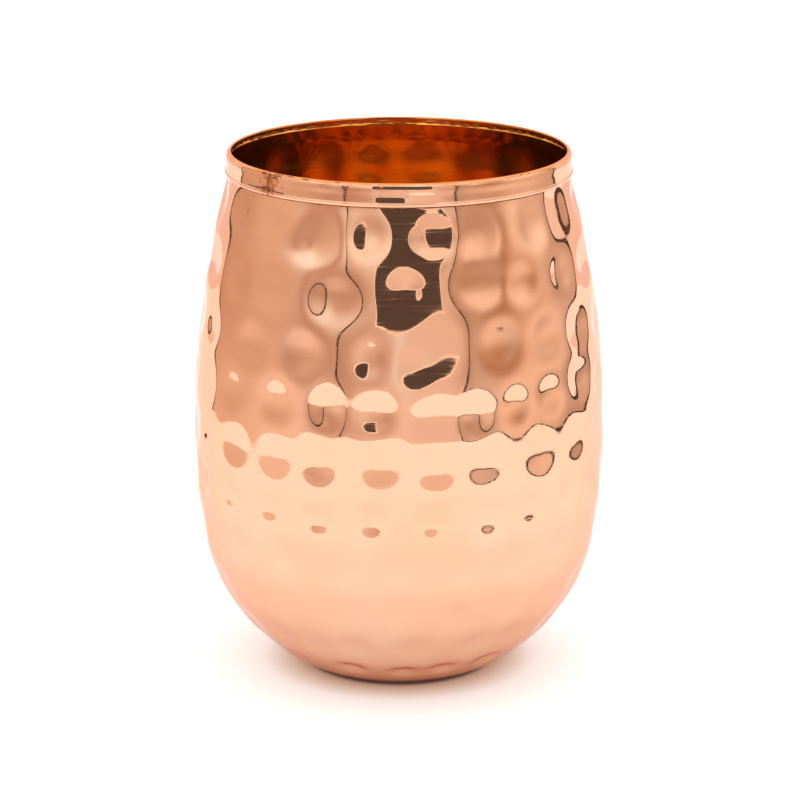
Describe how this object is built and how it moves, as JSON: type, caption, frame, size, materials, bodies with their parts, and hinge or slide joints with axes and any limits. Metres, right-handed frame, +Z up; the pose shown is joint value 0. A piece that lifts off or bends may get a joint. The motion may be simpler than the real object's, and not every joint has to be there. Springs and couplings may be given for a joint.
{
  "type": "copper tumbler",
  "caption": "Round-bellied hammered copper drinking tumbler with a folded strip over its lip and a flat, slightly hollow base.",
  "frame": {"origin": "centre of the circle that the tumbler stands on, in the plane of the base", "axes": "+Z up, the vessel's axis; -Y is the front, with the lip strip's joint to its left; +X is to the right as seen from the front"},
  "size_m": [0.09, 0.09, 0.115],
  "materials": {
    "copper_sheet": "polished hammered copper",
    "copper_strip": "polished copper, plain",
    "solder": "dull, tarnished"
  },
  "bodies": {
    "root": {"body_shell": "copper_sheet", "rim_band": "copper_strip", "rim_solder": "solder"}
  },
  "joints": []
}
